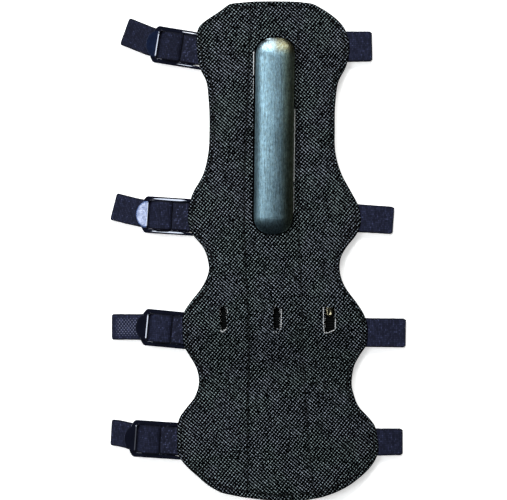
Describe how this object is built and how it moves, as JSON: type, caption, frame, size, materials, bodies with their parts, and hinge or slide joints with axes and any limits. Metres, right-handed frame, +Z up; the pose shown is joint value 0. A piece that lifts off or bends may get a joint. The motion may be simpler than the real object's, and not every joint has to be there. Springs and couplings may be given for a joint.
{
  "type": "archery arm guard",
  "caption": "Long scalloped forearm guard of black woven cloth over padding, with sewn channels, a half-round metal bar in a window, stay slits, and elastic straps in ladder-lock buckles.",
  "frame": {"origin": "middle of the guard's footprint, on the surface that it lies on", "axes": "+Y to the wrist end with the bar, +X to the side where the elastic folds back, +Z up out of the front face"},
  "size_m": [0.1926, 0.323, 0.0225],
  "materials": {
    "woven_cover": "coarse plain weave, matt",
    "backing": "ribbed lining over thin padding",
    "bar_metal": "gunmetal satin, fine lengthwise streaks",
    "stay_steel": "bright steel with a brassy tint",
    "elastic": "ribbed woven elastic, navy black",
    "webbing": "narrow woven webbing, navy black",
    "buckle_plastic": "moulded, glossy edges"
  },
  "bodies": {
    "root": {"front_cover": "woven_cover", "backing": "backing", "guard_bar": "bar_metal", "side_stay": "stay_steel", "strap_1": "elastic", "buckle_1": "buckle_plastic", "buckle_loop_1": "webbing", "strap_2": "elastic", "buckle_2": "buckle_plastic", "buckle_loop_2": "webbing", "strap_3": "elastic", "buckle_3": "buckle_plastic", "buckle_loop_3": "webbing", "strap_4": "elastic", "buckle_4": "buckle_plastic", "buckle_loop_4": "webbing"}
  },
  "joints": []
}
